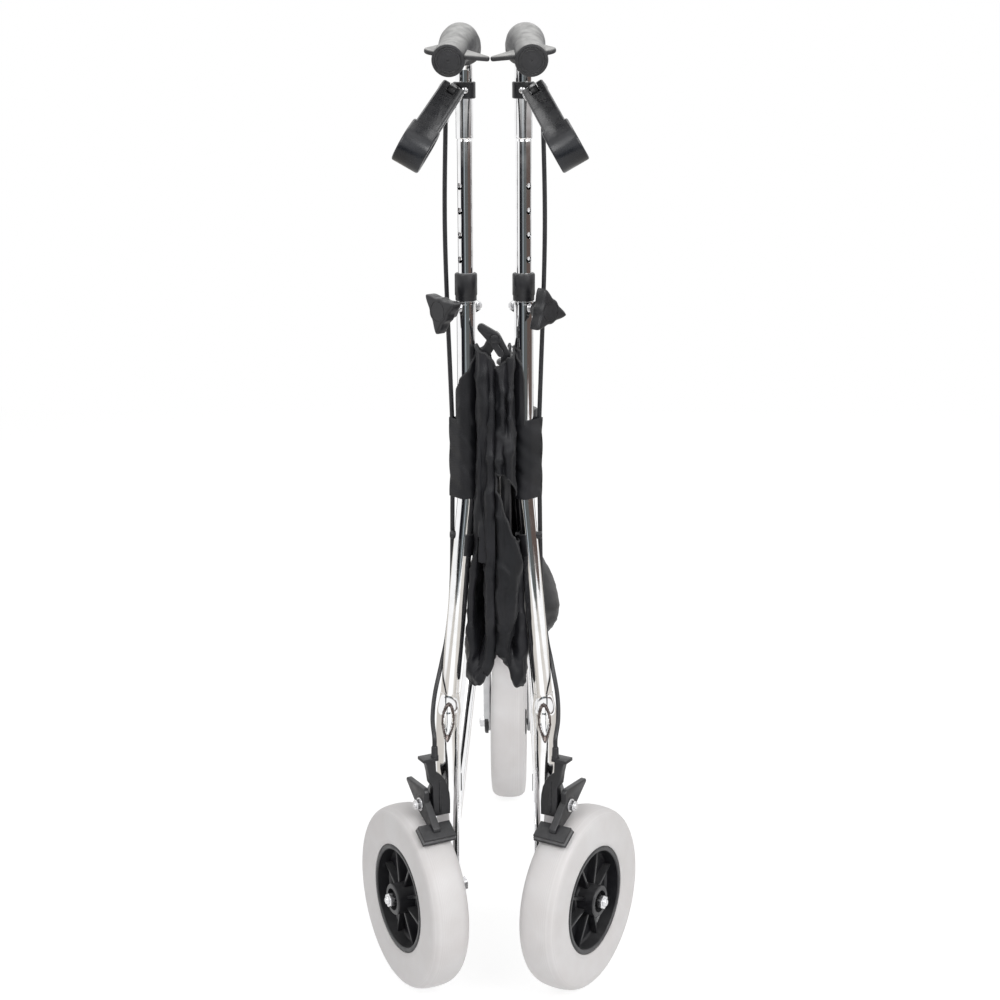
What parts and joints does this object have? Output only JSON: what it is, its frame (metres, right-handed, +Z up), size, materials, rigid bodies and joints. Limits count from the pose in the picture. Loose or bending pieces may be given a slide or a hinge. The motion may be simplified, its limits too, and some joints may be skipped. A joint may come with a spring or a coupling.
{
  "type": "three-wheel rollator",
  "caption": "Folding three-wheel walking frame with a swivelling front castor, height-adjustable handles, loop brake levers and a shopping bag.",
  "frame": {"origin": "middle of the bounding box's underside, on the floor", "axes": "+Z up, +Y towards the front castor, +X to the user's right"},
  "size_m": [0.292, 0.6844, 0.968],
  "materials": {
    "chrome": "bright plated steel tube",
    "zinc": "bright zinc plated fastener",
    "black_plastic": "moulded black nylon",
    "black_rubber": "soft matt grip rubber",
    "pale_rubber": "off-white solid tyre",
    "black_cloth": "black nylon cloth",
    "silver_paint": "silver powder coat"
  },
  "bodies": {
    "head": {"head_tube": "chrome", "head_bracket_lower": "black_plastic", "head_bracket_upper": "black_plastic", "head_cap": "black_plastic", "bag": "black_cloth"},
    "fork": {"fork": "silver_paint", "front_cap_left": "black_plastic", "front_cap_right": "black_plastic", "front_axle": "zinc"},
    "front_wheel": {"hub_front": "black_plastic", "tyre_front": "pale_rubber", "bush_front": "zinc"},
    "latch": {"brace_latch": "black_plastic"},
    "frame_left": {"upright_left": "chrome", "rear_leg_left": "chrome", "lower_stay_left": "chrome", "upper_stay_left": "chrome", "hinge_tube_left": "chrome", "collar_left": "black_plastic", "cable_lower_left": "black_plastic", "bag_sleeve_left": "black_cloth", "brake_bracket_left": "black_plastic", "axle_bolt_left": "zinc", "brace_clamp_left": "black_plastic"},
    "knob_body_left": {"knob_left": "black_plastic"},
    "handle_left": {"handle_tube_left": "chrome", "grip_left": "black_rubber", "lever_housing_left": "black_plastic", "cable_upper_left": "black_plastic"},
    "lever_left": {"brake_lever_left": "black_plastic"},
    "brake_left": {"brake_arm_left": "black_plastic"},
    "wheel_left": {"hub_left": "black_plastic", "tyre_left": "pale_rubber", "bush_left": "zinc"},
    "yoke_left": {"brace_yoke_left": "zinc"},
    "link_left": {"brace_link_left": "zinc"},
    "frame_right": {"upright_right": "chrome", "rear_leg_right": "chrome", "lower_stay_right": "chrome", "upper_stay_right": "chrome", "hinge_tube_right": "chrome", "collar_right": "black_plastic", "cable_lower_right": "black_plastic", "bag_sleeve_right": "black_cloth", "brake_bracket_right": "black_plastic", "axle_bolt_right": "zinc", "brace_clamp_right": "black_plastic"},
    "knob_body_right": {"knob_right": "black_plastic"},
    "handle_right": {"handle_tube_right": "chrome", "grip_right": "black_rubber", "lever_housing_right": "black_plastic", "cable_upper_right": "black_plastic"},
    "lever_right": {"brake_lever_right": "black_plastic"},
    "brake_right": {"brake_arm_right": "black_plastic"},
    "wheel_right": {"hub_right": "black_plastic", "tyre_right": "pale_rubber", "bush_right": "zinc"},
    "yoke_right": {"brace_yoke_right": "zinc"},
    "link_right": {"brace_link_right": "zinc"}
  },
  "joints": [
    {"name": "fork_swivel", "type": "hinge", "parent": "head", "child": "fork", "pos_m": [0, 0.2278, 0.2], "axis": [0, 0, 1], "continuous": true},
    {"name": "front_wheel_spin", "type": "hinge", "parent": "fork", "child": "front_wheel", "pos_m": [0, 0.2478, 0.0944], "axis": [1, 0, 0], "continuous": true},
    {"name": "fold_left", "type": "hinge", "parent": "head", "child": "frame_left", "pos_m": [-0.022, 0.1958, 0.4], "axis": [0, 0, -1], "range_deg": [0, 29]},
    {"name": "knob_turn_left", "type": "hinge", "parent": "frame_left", "child": "knob_body_left", "pos_m": [-0.028, -0.2142, 0.698], "axis": [-0.7071, -0.7071, 0], "continuous": true},
    {"name": "height_left", "type": "slide", "parent": "frame_left", "child": "handle_left", "axis": [0, 0, 1], "range_m": [-0.117, 0], "deforming": ["cable_upper_left"]},
    {"name": "lever_left", "type": "hinge", "parent": "handle_left", "child": "lever_left", "pos_m": [-0.0395, -0.2367, 0.905], "axis": [-0.8684, 0.0347, 0.4946], "range_deg": [0, 16], "stiffness_Nm_per_rad": 0.5, "springref_deg": -8.59},
    {"name": "brake_left", "type": "hinge", "parent": "frame_left", "child": "brake_left", "pos_m": [-0.07351, -0.27393, 0.204], "axis": [0.8746, 0.4848, 0], "range_deg": [0, 2.6]},
    {"name": "wheel_spin_left", "type": "hinge", "parent": "frame_left", "child": "wheel_left", "pos_m": [-0.085, -0.2532, 0.0944], "axis": [-0.8746, -0.4848, 0], "continuous": true},
    {"name": "yoke_left", "type": "hinge", "parent": "frame_left", "child": "yoke_left", "pos_m": [-0.0105, -0.2142, 0.4606], "axis": [0, 0, 1], "range_deg": [0, 29]},
    {"name": "link_left", "type": "hinge", "parent": "yoke_left", "child": "link_left", "pos_m": [-0.0105, -0.2292, 0.4606], "axis": [0, 1, 0], "range_deg": [0, 87.1]},
    {"name": "fold_right", "type": "hinge", "parent": "head", "child": "frame_right", "pos_m": [0.022, 0.1958, 0.4], "axis": [0, 0, 1], "range_deg": [0, 29]},
    {"name": "knob_turn_right", "type": "hinge", "parent": "frame_right", "child": "knob_body_right", "pos_m": [0.028, -0.2142, 0.698], "axis": [0.7071, -0.7071, 0], "continuous": true},
    {"name": "height_right", "type": "slide", "parent": "frame_right", "child": "handle_right", "axis": [0, 0, 1], "range_m": [-0.117, 0], "deforming": ["cable_upper_right"]},
    {"name": "lever_right", "type": "hinge", "parent": "handle_right", "child": "lever_right", "pos_m": [0.0395, -0.2367, 0.905], "axis": [-0.8684, -0.0347, -0.4946], "range_deg": [0, 16], "stiffness_Nm_per_rad": 0.5, "springref_deg": -8.59},
    {"name": "brake_right", "type": "hinge", "parent": "frame_right", "child": "brake_right", "pos_m": [0.07351, -0.27393, 0.204], "axis": [0.8746, -0.4848, 0], "range_deg": [0, 2.6]},
    {"name": "wheel_spin_right", "type": "hinge", "parent": "frame_right", "child": "wheel_right", "pos_m": [0.085, -0.2532, 0.0944], "axis": [0.8746, -0.4848, 0], "continuous": true},
    {"name": "yoke_right", "type": "hinge", "parent": "frame_right", "child": "yoke_right", "pos_m": [0.0105, -0.2142, 0.4606], "axis": [0, 0, -1], "range_deg": [0, 29]},
    {"name": "link_right", "type": "hinge", "parent": "yoke_right", "child": "link_right", "pos_m": [0.0105, -0.2249, 0.4606], "axis": [0, -1, 0], "range_deg": [0, 87.1]},
    {"name": "latch_turn", "type": "hinge", "parent": "link_left", "child": "latch", "pos_m": [0, -0.2292, 0.671], "axis": [0, -1, 0], "range_deg": [0, 25]}
  ],
  "couplings": [
    {"joint": "brake_left", "follows": "lever_left", "ratio": 0.1625},
    {"joint": "yoke_left", "follows": "fold_left", "ratio": 1},
    {"joint": "link_left", "follows": "fold_left", "ratio": 3.0034},
    {"joint": "fold_right", "follows": "fold_left", "ratio": 1},
    {"joint": "brake_right", "follows": "lever_right", "ratio": 0.1625},
    {"joint": "yoke_right", "follows": "fold_left", "ratio": 1},
    {"joint": "link_right", "follows": "fold_left", "ratio": 3.0034}
  ]
}
